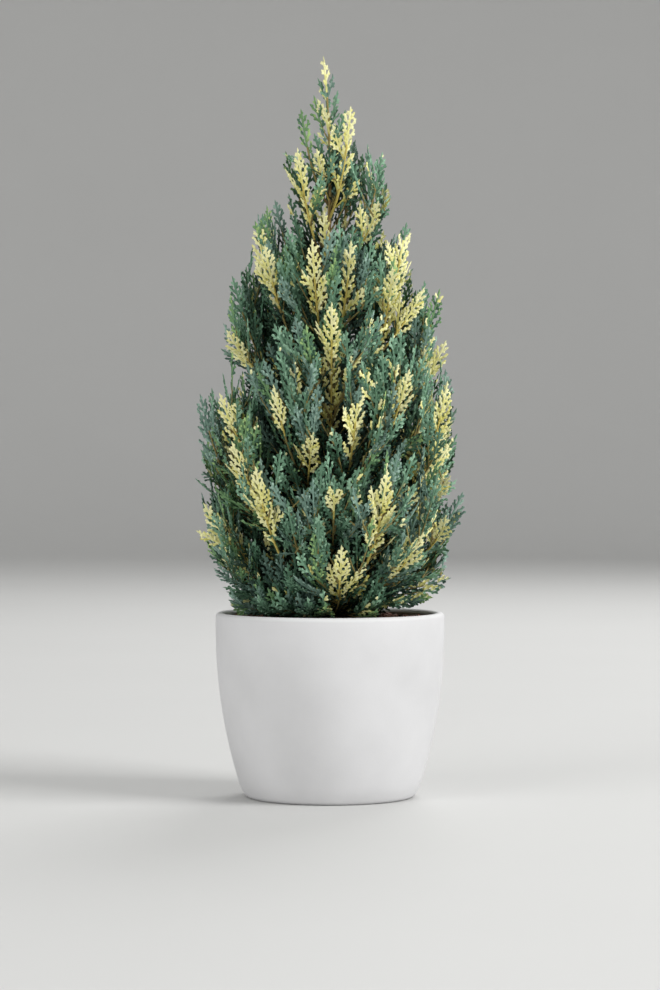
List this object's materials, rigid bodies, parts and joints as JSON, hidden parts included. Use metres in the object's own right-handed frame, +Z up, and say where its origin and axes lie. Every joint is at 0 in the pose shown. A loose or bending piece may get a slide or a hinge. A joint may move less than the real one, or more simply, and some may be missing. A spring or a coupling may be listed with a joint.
{
  "type": "potted chinese juniper",
  "caption": "Young upright variegated conifer with flat scale-leaf sprays on a single trunk, growing in a plain round white pot filled with soil.",
  "frame": {"origin": "centre of the pot's flat underside", "axes": "+Z up along the pot's axis; -Y towards the side of the plant with the most cream sprays, which is the side in the picture; +X to the right as seen from that side"},
  "size_m": [0.1842, 0.1644, 0.484],
  "materials": {
    "pot_white": "matt white, faintly mottled",
    "peat": "loose potting soil with bark chips",
    "bark": "thin rough bark",
    "green_foliage": "blue-green scale leaves, slightly waxy",
    "cream_foliage": "cream and green scale leaves"
  },
  "bodies": {
    "root": {"back_foot_1": "green_foliage", "back_foot_2": "green_foliage", "back_foot_3": "green_foliage", "back_high_1": "green_foliage", "back_high_2": "green_foliage", "back_low_1": "green_foliage", "back_low_2": "green_foliage", "back_low_3": "cream_foliage", "back_middle_1": "cream_foliage", "back_middle_2": "green_foliage", "back_middle_3": "green_foliage", "back_shoulder_1": "green_foliage", "back_shoulder_2": "cream_foliage", "back_shoulder_3": "green_foliage", "back_top_1": "green_foliage", "back_upper_1": "cream_foliage", "back_upper_2": "green_foliage", "bough_back_middle_1": "bark", "bough_back_middle_2": "bark", "bough_back_middle_3": "bark", "bough_front_left_low": "bark", "bough_front_left_skirt": "bark", "bough_front_right_low": "bark", "bough_left_outer": "bark", "bough_right_outer": "bark", "bough_right_skirt": "bark", "front_centre": "cream_foliage", "front_foot": "cream_foliage", "front_left_low": "cream_foliage", "front_left_middle": "cream_foliage", "front_left_skirt": "green_foliage", "front_low": "green_foliage", "front_right_low": "cream_foliage", "front_right_middle": "green_foliage", "front_right_skirt": "cream_foliage", "high_front_left": "cream_foliage", "high_front_right": "cream_foliage", "leader_tip": "cream_foliage", "left_foot": "green_foliage", "left_low": "cream_foliage", "left_middle": "cream_foliage", "left_outer": "green_foliage", "left_shoulder": "cream_foliage", "left_skirt": "cream_foliage", "left_wing": "green_foliage", "pot": "pot_white", "right_foot": "green_foliage", "right_middle": "cream_foliage", "right_outer": "cream_foliage", "right_shoulder": "cream_foliage", "right_side_low": "green_foliage", "right_skirt": "green_foliage", "right_wing": "green_foliage", "soil": "peat", "top_left": "green_foliage", "top_right": "cream_foliage", "trunk": "bark", "upper_left": "cream_foliage", "upper_right": "green_foliage"}
  },
  "joints": []
}
